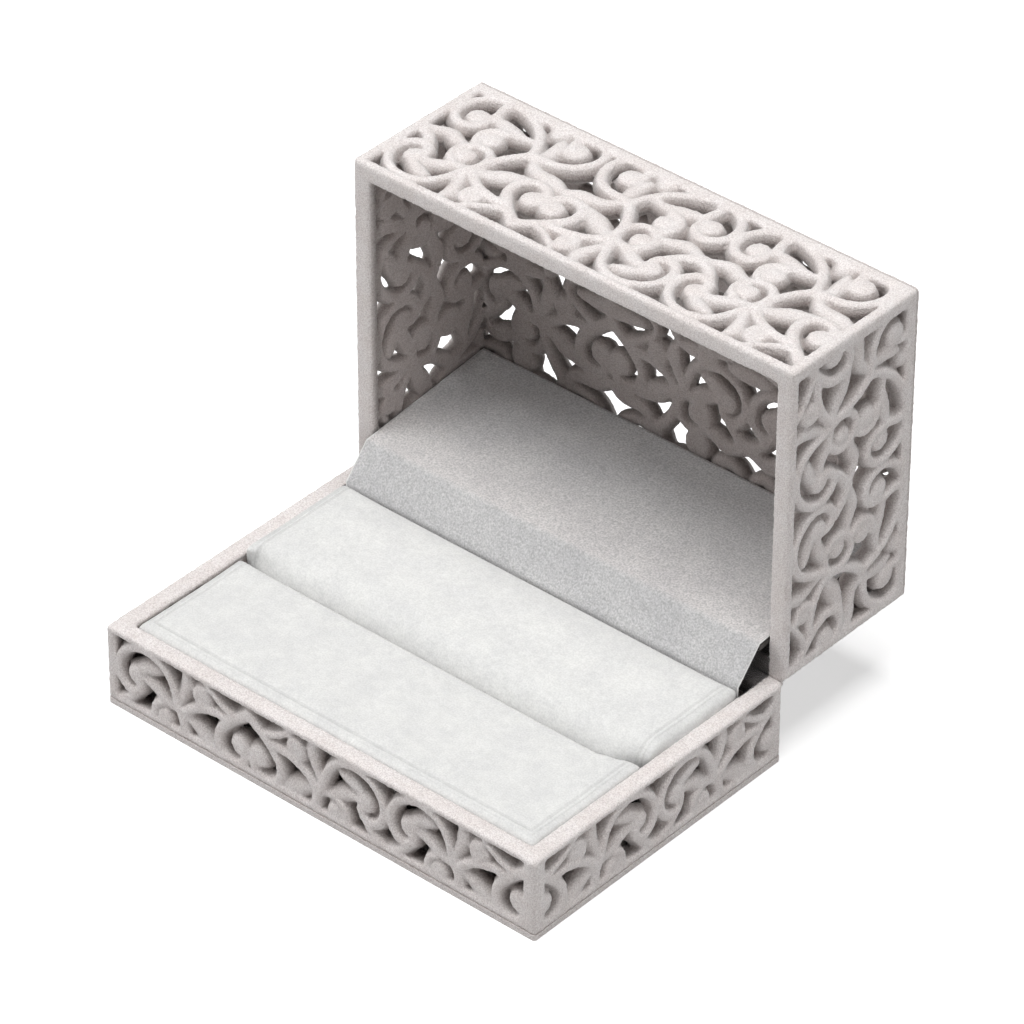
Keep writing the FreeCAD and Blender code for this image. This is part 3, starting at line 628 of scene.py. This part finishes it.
def surface_net(field, axes):
    """Closed mesh where the field passes zero: vertices and four-cornered faces."""
    solid = field > 0
    shape = tuple(n - 1 for n in field.shape)
    corners = [(i, j, k) for i in (0, 1) for j in (0, 1) for k in (0, 1)]

    def shifted(values, corner):
        return values[tuple(slice(c, c + n) for c, n in zip(corner, shape))]

    count = sum(shifted(solid, c).astype(np.int8) for c in corners)
    cells = np.argwhere((count > 0) & (count < 8))
    value = {c: field[tuple((cells + c).T)] for c in corners}
    total, crossings = np.zeros((len(cells), 3)), np.zeros(len(cells))
    for a in corners:
        for axis in range(3):
            if a[axis]:
                continue
            b = tuple(1 if i == axis else c for i, c in enumerate(a))
            crossed = (value[a] > 0) != (value[b] > 0)
            spot = np.zeros((crossed.sum(), 3)) + a
            share = value[a][crossed] / (value[a][crossed] - value[b][crossed])
            spot[:, axis] += share
            total[crossed] += spot
            crossings[crossed] += 1
    places = cells + total / crossings[:, None]
    step = np.array([row[1] - row[0] for row in axes])
    vertices = np.array([row[0] for row in axes]) + places * step
    number = np.full(shape, -1, np.int32)
    number[tuple(cells.T)] = np.arange(len(cells))
    faces = []
    for axis in range(3):
        b, c = (axis + 1) % 3, (axis + 2) % 3
        first = [slice(1, -1)] * 3
        second = [slice(1, -1)] * 3
        first[axis], second[axis] = slice(0, -1), slice(1, None)
        here, there = solid[tuple(first)], solid[tuple(second)]
        for out, turn in ((here & ~there, 1), (there & ~here, -1)):
            at = np.argwhere(out)
            at[:, b] += 1
            at[:, c] += 1
            ring = []
            for db, dc in ((0, 0), (-1, 0), (-1, -1), (0, -1))[::turn]:
                cell = at.copy()
                cell[:, b] += db
                cell[:, c] += dc
                ring.append(number[tuple(cell.T)])
            faces.append(np.stack(ring, 1))
    return largest_piece(vertices, np.vstack(faces))


def largest_piece(vertices, faces):
    """The biggest connected part of a mesh, without stray specks."""
    label = np.arange(len(vertices))
    while True:
        before = label.copy()
        lowest = label[faces].min(1)
        np.minimum.at(label, faces.ravel(), np.repeat(lowest, faces.shape[1]))
        label = label[label]
        if (label == before).all():
            break
    main = np.bincount(label).argmax()
    keep = label == main
    number = np.cumsum(keep) - 1
    return vertices[keep], number[faces[keep[faces[:, 0]]]]


def mesh_object(name, vertices, faces, material):
    """New smooth-shaded piece from arrays in metres."""
    mesh = bpy.data.meshes.new(name)
    mesh.vertices.add(len(vertices))
    mesh.vertices.foreach_set("co", np.asarray(vertices, np.float32).ravel())
    mesh.loops.add(faces.size)
    mesh.loops.foreach_set("vertex_index", faces.astype(np.int32).ravel())
    mesh.polygons.add(len(faces))
    starts = np.arange(len(faces)) * faces.shape[1]
    mesh.polygons.foreach_set("loop_start", starts.astype(np.int32))
    mesh.update(calc_edges=True)
    mesh.validate()
    mesh.polygons.foreach_set("use_smooth", np.ones(len(faces), bool))
    mesh.materials.append(material)
    piece = bpy.data.objects.new(name, mesh)
    bpy.context.scene.collection.objects.link(piece)
    return piece


def store(piece, name, values):
    """Keeps one number for each vertex, for a material to read."""
    attribute = piece.data.attributes.new(name, "FLOAT", "POINT")
    attribute.data.foreach_set("value", values)


def sharpen(vertices, edge):
    """Pulls the vertices beside an edge that runs along x onto it, given its (y, z)."""
    near = (np.abs(vertices[:, 1:] - edge) < SHARPEN_REACH * VOXEL).all(1)
    vertices[near, 1:] = edge


def depth_in(places, box):
    """How far each place lies inside a box, less than 0 outside it."""
    return np.minimum(places - box[0], box[1] - places).min(1)


def shell(name, low, high, block, ledge, edge, cavity, notch, walls, thickness, painted_shadow, seed):
    """Openwork shell: a rounded block, hollowed, with each wall carved open, a ledge with
    a sharp edge at the hinge, and a notch. Inside the given boxes, its colour is painted dark as
    shadow."""
    axes = grid_over(low, high, VOXEL)
    field = box_field(axes, *block, EDGE_ROUND)
    field = smooth_min(field, -box_field(axes, *cavity, 0.0), INSIDE_ROUND)
    for layout in walls:
        carve(field, axes, layout, thickness)
    field = smooth_min(field, (axes[2] - low[2])[None, None, :], SEAM_ROUND)
    field = np.maximum(field, box_field(axes, *ledge, LEDGE_ROUND))
    field = smooth_min(field, -box_field(axes, *notch, 0.0), SEAM_ROUND)
    vertices, faces = surface_net(field, axes)
    inwards = depth_in(vertices, block) / thickness
    # share of painted shadow at each vertex, from the given boxes
    painted_shadow_share = [ease(depth_in(vertices, box) / PAINTED_SHADOW_FADE + 0.5) for box in painted_shadow]
    random = np.random.default_rng(seed)
    vertices += np.clip(random.normal(0, FLOCK, vertices.shape), -FLOCK_MOST, FLOCK_MOST)
    sharpen(vertices, edge)
    piece = mesh_object(name, vertices * MM, faces, flock)
    store(piece, "depth", np.clip(inwards, 0, 1))
    store(piece, "painted_shadow", np.max(painted_shadow_share, axis=0))
    return piece


# ---------------------------------------------------------------- shells
FAR = 50.0                # past everything
NOTCH_GAP = 0.35          # round the hinge, in both back walls
NOTCH_DEPTH = 1.5         # of the notch, in wall thicknesses
EAVE = 0.8                # the base's ledge reaches this far under the lid's rim
EAVE_DROP = 0.16          # and lies this far below it
SEAT = 0.35               # reach of the painted shadow past a wall's face
PAINTED_SHADOW_FADE = 0.5           # width of their edge
PAINTED_SHADOW_REACH = 12.4         # painted shadow on the lid's back wall, from its rim
SHARPEN_REACH = 0.75      # in voxels, from a sharpened edge to the vertices that move to it
hinge_low, hinge_high = node_box("base_hinge_leaf")
notch_half = hinge_high[0] + NOTCH_GAP
base_notch_floor = node_box("lid_hinge_leaf")[0][2] - NOTCH_GAP
lid_notch_end = hinge_high[1] + NOTCH_GAP

base_shell = shell(
    "base_shell",
    low=(LEFT, FRONT, PLATE_TOP),
    high=(RIGHT, BACK + EAVE, RIM),
    block=((LEFT, FRONT, -FAR), (RIGHT, BACK, RIM)),
    ledge=((LEFT + EDGE_ROUND, BACK - LEDGE, RIM - LEDGE),
           (RIGHT - EDGE_ROUND, BACK + EAVE, RIM - EAVE_DROP)),
    edge=(BACK, RIM),
    cavity=((LEFT + BASE_WALL, FRONT + BASE_WALL, -FAR),
            (RIGHT - BASE_WALL, BACK - BASE_WALL, FAR)),
    notch=((-notch_half, BACK - NOTCH_DEPTH * BASE_WALL, base_notch_floor), (notch_half, FAR, FAR)),
    walls=BASE_WALLS, thickness=BASE_WALL, seed=1,
    # painted shadow: the back wall's inner face behind the lining, and its top at the hinge
    painted_shadow=(
        ((LEFT + BASE_WALL - SEAT, node_box("lining_tail")[0][1], PLATE_TOP),
         (RIGHT - BASE_WALL + SEAT, BACK - BASE_WALL + SEAT, FAR)),
        ((LEFT + BASE_WALL - SEAT, BACK - BASE_WALL, RIM - SEAT),
         (RIGHT - BASE_WALL + SEAT, BACK + FAR, FAR)),
    ),
)
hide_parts("base_front_wall", "base_back_wall", "base_left_wall",
            "base_right_wall")
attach(base_shell, "base")

lid_shell = shell(
    "lid_shell",
    low=(LEFT, LID_RIM, RIM),
    high=(RIGHT, LID_TOP, LID_CEILING),
    block=((LEFT, LID_RIM, RIM), (RIGHT, LID_TOP, LID_CEILING)),
    ledge=((LEFT + EDGE_ROUND, LID_RIM, RIM), (RIGHT - EDGE_ROUND, LID_RIM + LEDGE, RIM + LEDGE)),
    edge=(LID_RIM, RIM),
    cavity=((LEFT + LID_WALL, -FAR, RIM + LID_WALL),
            (RIGHT - LID_WALL, INNER_TOP, LID_CEILING - LID_WALL)),
    notch=((-notch_half, -FAR, -FAR), (notch_half, lid_notch_end, RIM + NOTCH_DEPTH * LID_WALL)),
    walls=LID_WALLS, thickness=LID_WALL, seed=2,
    # painted shadow: the hinge-side wall's rim face, and its inner face near the rim
    painted_shadow=(
        ((LEFT + LID_WALL - SEAT, LID_RIM - FAR, RIM - FAR),
         (RIGHT - LID_WALL + SEAT, LID_RIM + SEAT, RIM + LID_WALL + SEAT)),
        ((LEFT + LID_WALL - SEAT, LID_RIM - FAR, RIM + LID_WALL - SEAT),
         (RIGHT - LID_WALL + SEAT, LID_RIM + PAINTED_SHADOW_REACH, RIM + LID_WALL + SEAT)),
    ),
)
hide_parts("lid_front_wall", "lid_back_wall", "lid_left_wall", "lid_right_wall",
            "lid_top_panel")
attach(lid_shell, "lid")


# ---------------------------------------------------------------- ring pad
PAD_VOXEL = 0.8           # of the pads' grids
PAD_ROUND = 0.8           # rounding of the rolls' top edges
SLOT_ROUND = 3.6          # rounding of the rear roll towards the slot
SLOT_OPENS = 9.0          # it starts this far from the slot's left end
CORNER = 0.25             # rounding of the rolls' upright edges
WAIST = 1.6               # the rolls' sides pull in this far
WAIST_TOP = 2.2           # from this far below their tops
WAIST_REACH = 4.0         # to this much deeper
LEAN = 0.4                # slope of the rear roll's front, run over rise
BOTTOM_ROUND = 0.3        # rounding of the rolls' bottom edges
FACE_ROUND = 0.1          # where a roll's front meets its rounded top
SLOT_FLOOR = 0.6          # the slot's velvet lies this far before the rear foam
LEFT_CLOSE = 3.0          # the slot closes over this length at its left end
RIGHT_CLOSE = 9.0         # and over this length at its right end
SHUT_GAP = 0.4            # the rear roll ends this far from the front one there
RIGHT_BULGE = 2.0         # and leans this much further back at the right
SLOT_CLEAR = 0.15         # least distance between the rolls
LIP = 1.7                 # swelling of the front roll at the slot's right end
LIP_DEPTH = 5.0           # over this depth
LIP_LENGTH = 8.0          # and this length
LIP_ROOM = 2.0            # for it in the front roll's grid
SIDE_SHADE_START = 3.5        # painted shade on a pad's sides starts this far below its top
SIDE_SHADE_FADE = 2.0         # and deepens over this length
PUFF_SCALE = 6.0          # the simulation runs on a pad this many times as large
PUFF_PRESSURE = 4.0       # of the air in it
PUFF_FRAMES = 16          # length of the simulation
PUFF_MOST = 0.25          # furthest that a point of the pad swells
PUFF_STIFF = 15           # against stretching and squeezing
PUFF_BEND = 0.5           # against bending
PUFF_HELD = 6.0           # this much of a pad's height stays where it is
front_low, front_high = node_box("front_velvet")
rear_low, rear_high = node_box("rear_velvet")
BACK_STAND = 0.55         # the velvet of the rear roll stands this proud at its back
SIDE_STAND = 0.5          # and both rolls press this far against the walls
SLOT_FRONT = front_high[1]
SLOT_BACK = node_box("rear_foam")[0][1] - SLOT_FLOOR


def roll_field(axes, low, high, front, back):
    """Padded roll: front and back give the y of its sides from x and z."""
    x, y, z = axes[0][:, None, None], axes[1][None, :, None], axes[2][None, None, :]
    low = low - (SIDE_STAND, 0, 0)
    high = high + (SIDE_STAND, 0, 0)
    waist = WAIST * ease((high[2] - z - WAIST_TOP) / WAIST_REACH)
    ends = smooth_min(x - low[0] - waist, high[0] - waist - x, CORNER)
    front_side = y - front(x, z) - waist * (front is not slot_side)
    back_side = back(x, z) - y - waist * (back is back_edge)
    field = smooth_min(smooth_min(front_side, ends, CORNER), back_side, CORNER)
    top = high[2] - z
    reach = PAD_ROUND
    if front is slot_side:
        reach = PAD_ROUND + (SLOT_ROUND - PAD_ROUND) * ease((x - low[0]) / SLOT_OPENS)
    field = smooth_min(field, top, PAD_ROUND)
    field = smooth_min(field, smooth_min(front_side, top, reach), FACE_ROUND)
    return smooth_min(field, z - low[2], BOTTOM_ROUND)


def slot_side(x, z):
    """The rear roll's front leans into the slot and closes it at both ends."""
    right = ease(1 - (rear_high[0] - x) / RIGHT_CLOSE)
    closed = np.maximum(ease(1 - (x - rear_low[0]) / LEFT_CLOSE), right)
    mouth = SLOT_BACK - LEAN * (rear_high[2] - z)
    shut = SLOT_FRONT + SHUT_GAP + RIGHT_BULGE * right
    return np.maximum(mouth + (shut - mouth) * closed, SLOT_FRONT + SLOT_CLEAR)


def front_edge(x, z):
    return front_low[1] - SIDE_STAND


def back_edge(x, z):
    return rear_high[1] + BACK_STAND


def slot_lip(x, z):
    """The front roll's back edge swells towards the slot's right end."""
    near_top = ease(1 - (front_high[2] - z) / LIP_DEPTH)
    return SLOT_FRONT + LIP * near_top * ease(1 - (front_high[0] - x) / LIP_LENGTH)


def puff(vertices, faces, bottom):
    """Swells a closed pad with air pressure. Its lower part stays where it is."""
    mesh = bpy.data.meshes.new("puff")
    mesh.from_pydata((vertices * MM * PUFF_SCALE).tolist(), [], faces.tolist())
    trial = bpy.data.objects.new("puff", mesh)
    bpy.context.scene.collection.objects.link(trial)
    held = trial.vertex_groups.new(name="held")
    held.add(np.flatnonzero(vertices[:, 2] < bottom + PUFF_HELD).tolist(), 1.0, "REPLACE")
    cloth = trial.modifiers.new("cloth", "CLOTH")
    cloth.settings.use_pressure = True
    cloth.settings.uniform_pressure_force = PUFF_PRESSURE
    cloth.settings.vertex_group_mass = "held"
    cloth.settings.tension_stiffness = PUFF_STIFF
    cloth.settings.compression_stiffness = PUFF_STIFF
    cloth.settings.bending_stiffness = PUFF_BEND
    cloth.settings.effector_weights.gravity = 0
    cloth.point_cache.frame_end = PUFF_FRAMES
    scene = bpy.context.scene
    for frame_number in range(1, PUFF_FRAMES + 1):
        scene.frame_set(frame_number)
    shaped = trial.evaluated_get(bpy.context.evaluated_depsgraph_get()).to_mesh()
    moved = np.empty(len(vertices) * 3)
    shaped.vertices.foreach_get("co", moved)
    bpy.data.objects.remove(trial)
    scene.frame_set(1)
    shift = moved.reshape(-1, 3) / MM / PUFF_SCALE - vertices
    length = np.linalg.norm(shift, axis=1)[:, None]
    return vertices + shift * PUFF_MOST / np.maximum(length, PUFF_MOST)


def pad_object(name, field, axes, top_z):
    """Velvet pad from a field, swollen and smoothed."""
    vertices, faces = surface_net(field, axes)
    vertices = puff(vertices, faces, axes[2][0])
    piece = mesh_object(name, vertices * MM, faces, velvet)
    # share of painted shade, from this far below the top
    side_shade = ease((top_z - vertices[:, 2] - SIDE_SHADE_START) / SIDE_SHADE_FADE)
    store(piece, "depth", side_shade)
    smooth = piece.modifiers.new("smooth", "SMOOTH")
    smooth.iterations = 1
    fine = piece.modifiers.new("fine", "SUBSURF")
    fine.levels = 1
    fine.render_levels = 1
    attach(piece, "base")
    return piece


def front_roll():
    """Roll in front of the slot."""
    low = front_low - (SIDE_STAND, SIDE_STAND, 0)
    axes = grid_over(low, front_high + (SIDE_STAND, LIP_ROOM, 0), PAD_VOXEL)
    field = roll_field(axes, front_low, front_high, front_edge, slot_lip)
    return pad_object("front_roll", field, axes, front_high[2])


def rear_roll():
    """Higher roll behind the slot, which also closes the slot's floor and ends."""
    low = np.array([rear_low[0], SLOT_FRONT, rear_low[2]])
    high = rear_high + (SIDE_STAND, BACK_STAND, 0)
    axes = grid_over(low - (SIDE_STAND, 0, 0), high, PAD_VOXEL)
    field = roll_field(axes, low, rear_high, slot_side, back_edge)
    return pad_object("rear_roll", field, axes, rear_high[2])


front_pad = front_roll()
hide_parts("front_velvet", "front_foam")
rear_pad = rear_roll()
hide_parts("rear_velvet", "rear_foam", "slot_strip")


# ---------------------------------------------------------------- grey lining
SHEET = 0.5               # velvet thickness
PRESSED = 0.2             # share of it left at the cut ends
CREASE_LIGHT_RISE = 1.0            # the painted light comes up within this much of the crease
CREASE_LIGHT_REACH = 19.0          # and fades out this far past it
ROW_STEP = 0.6            # between the sheet's rows of points
COLUMNS = 50              # of points from its middle to where its ends thin out
FOOT_IN = 0.35            # from the tail's front to the sheet's foot
KNEE_IN = 0.5             # and to the bend above it
KNEE_RISE = 1.1           # of that bend, over the base's rim
tail_low, tail_high = node_box("lining_tail")
cloth_low, cloth_high = node_box("lining_velvet")
HALF = cloth_high[0]
crease = (cloth_low[1], node_box("lining_fold")[1][2])
foot = (tail_low[1] + FOOT_IN, tail_high[2])
knee = (tail_low[1] + KNEE_IN, RIM + KNEE_RISE)
end = (cloth_high[1], cloth_high[2])
velveteen = grey_velvet(HALF * MM)


def lining_cloth():
    """Velveteen sheet from behind the pad, over the crease, to the lid's top panel."""
    corners = [foot, knee, crease, end]
    line = []
    for (y0, z0), (y1, z1) in zip(corners, corners[1:]):
        steps = max(2, int(math.hypot(y1 - y0, z1 - z0) / ROW_STEP))
        for k in range(steps):
            line.append((y0 + (y1 - y0) * k / steps, z0 + (z1 - z0) * k / steps))
    line.append(corners[-1])
    line = np.array(line)
    way = directions(line)
    below = np.stack([way[:, 1], -way[:, 0]], 1) * SHEET
    half_columns = np.append(np.linspace(0, HALF - 2 * SHEET, COLUMNS), (HALF - SHEET, HALF))
    columns = np.append(-half_columns[:0:-1], half_columns)
    rows = 2 * len(line)
    vertices = []
    for x in columns:
        share = PRESSED + (1 - PRESSED) * ease((HALF - abs(x)) / SHEET)
        loop = np.vstack([line, (line + below * share)[::-1]])
        vertices += [(x, y, z) for y, z in loop]
    vertices = np.array(vertices)
    faces = []
    for i in range(len(columns) - 1):
        for j in range(rows):
            k = (j + 1) % rows
            faces.append((i * rows + j, i * rows + k, (i + 1) * rows + k, (i + 1) * rows + j))
    half = len(line)
    for i, turn in ((0, -1), (len(columns) - 1, 1)):
        for j in range(half - 1):
            a, b = i * rows + j, i * rows + j + 1
            c, d = i * rows + rows - 2 - j, i * rows + rows - 1 - j
            faces.append((a, b, c, d)[::turn])
    piece = mesh_object("lining_cloth", vertices * MM, np.array(faces), velveteen)
    past = vertices[:, 1] - crease[0]
    # painted light just past the crease, fading out deeper in the lid
    nap = ease(past / CREASE_LIGHT_RISE + 0.5) * (1 - ease(past / CREASE_LIGHT_REACH))
    store(piece, "nap", nap)
    return piece


cloth = lining_cloth()
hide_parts("lining_velvet", "lining_fold")
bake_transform(cloth)

# ---------------------------------------------------------------- spring of the hinge
SPRING_GAP = 0.06         # from the spring's ends to the leaves
SPRING_HALF = 0.15        # half its thickness
SPRING_BOW = 0.75         # height of its bow
SPRING_SPAN = 1.56        # from the hinge axis, where it clears the knuckles


def spring_strip():
    """Bowed steel strip from one hinge leaf to the other."""
    low, high = node_box("snap_spring")
    base_seat = hinge_low[1] - SPRING_GAP - SPRING_HALF
    lid_seat = node_box("lid_hinge_leaf")[1][2] + SPRING_GAP + SPRING_HALF
    middle = curve_through([
        (base_seat, low[2]),
        (base_seat - SPRING_BOW / 2, (low[2] + RIM) / 2),
        (base_seat - SPRING_BOW, RIM - 2 * SPRING_HALF),
        (base_seat, RIM + SPRING_SPAN),
        (BACK - SPRING_SPAN - SPRING_HALF, lid_seat),
        (BACK + SPRING_SPAN, lid_seat + SPRING_BOW / 2),
        (high[1], lid_seat),
    ], 6)
    way = directions(middle)
    across = np.stack([-way[:, 1], way[:, 0]], 1) * SPRING_HALF
    loop = np.vstack([middle + across, (middle - across)[::-1]])
    count = len(loop)
    vertices = np.array([(x, y, z) for x in (low[0], high[0]) for y, z in loop])
    ring = np.arange(count)
    following = (ring + 1) % count
    faces = np.stack([ring, following, following + count, ring + count], 1)
    half = ring[:count // 2 - 1]
    caps = np.stack([count - 1 - half, count - 2 - half, half + 1, half], 1)
    faces = np.vstack([faces, caps, (caps + count)[:, ::-1]])
    piece = mesh_object("spring_strip", vertices * MM, faces, steel)
    piece.data.polygons.foreach_set("use_smooth", np.zeros(len(faces), bool))
    return piece, middle[0], middle[-1]


spring, spring_start, spring_end = spring_strip()
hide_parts("snap_spring")
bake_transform(spring)

# ---------------------------------------------------------------- carried-over nodes
for names, material in (
    (("base_bottom_plate",), flock),
    (("pad_board", "lining_tail"), pasteboard),
    (("lining_board",), grey_board),
    (("base_hinge_leaf", "lid_hinge_leaf", "hinge_pin"), steel),
):
    for name in names:
        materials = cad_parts[name].data.materials
        materials.clear()
        materials.append(material)

# ---------------------------------------------------------------- stage, light, camera
bpy.ops.mesh.primitive_plane_add(size=6.0, location=(0, 0, 0))
floor = bpy.context.object
floor.name = "floor"
floor.data.materials.append(floor_paint())

AMBIENT = 0.03            # light of the world on the object
world = bpy.data.worlds.new("studio")
bpy.context.scene.world = world
world.use_nodes = True
tree = world.node_tree
backdrop = tree.nodes["Background"]
backdrop.inputs["Color"].default_value = (1, 1, 1, 1)
rays = tree.nodes.new("ShaderNodeLightPath").outputs
seen = rays["Is Camera Ray"]
for kind in ("Is Glossy Ray", "Is Transmission Ray"):
    either = tree.nodes.new("ShaderNodeMath")
    either.operation = "MAXIMUM"
    tree.links.new(seen, either.inputs[0])
    tree.links.new(rays[kind], either.inputs[1])
    seen = either.outputs[0]
level = tree.nodes.new("ShaderNodeMapRange")
level.inputs["To Min"].default_value = AMBIENT
tree.links.new(seen, level.inputs["Value"])
tree.links.new(level.outputs["Result"], backdrop.inputs["Strength"])


def softbox(name, place, aim, size, power):
    """Square lamp aimed at a point."""
    lamp = bpy.data.lights.new(name, "AREA")
    lamp.shape = "SQUARE"
    lamp.size = size
    lamp.energy = power
    lamp_object = bpy.data.objects.new(name, lamp)
    lamp_object.location = place
    lamp_object.rotation_euler = (Vector(aim) - Vector(place)).to_track_quat("-Z", "Y").to_euler()
    bpy.context.scene.collection.objects.link(lamp_object)


CENTRE = (0, 0.01, 0.03)
LAMPS = {
    "top": ((0.0, -0.05, 1.0), 0.7, 9.5),
    "right": ((1.0, -0.1, 0.5), 0.8, 2.9),
    "left": ((-0.9, -0.6, 0.5), 0.8, 5.0),
}
for name, (place, size, power) in LAMPS.items():
    softbox(name, place, CENTRE, size, power)

CAMERA_PLACE = (0.5068, -0.5648, 0.5982)
CAMERA_TURN = 41.113      # degrees from +Y towards -X
CAMERA_DROP = 36.284      # degrees below the horizon
CAMERA_ROLL = 0.134       # degrees
CAMERA_LENS = 224.0       # for a 36 mm wide sensor
camera_data = bpy.data.cameras.new("camera")
camera_data.lens = CAMERA_LENS
camera_data.sensor_width = 36.0
camera = bpy.data.objects.new("camera", camera_data)
camera.location = CAMERA_PLACE
camera.rotation_euler = (
    Matrix.Rotation(math.radians(CAMERA_TURN), 4, "Z")
    @ Matrix.Rotation(math.radians(90 - CAMERA_DROP), 4, "X")
    @ Matrix.Rotation(math.radians(CAMERA_ROLL), 4, "Z")
).to_euler()
bpy.context.scene.collection.objects.link(camera)
bpy.context.scene.camera = camera
bpy.context.scene.view_settings.view_transform = "Standard"
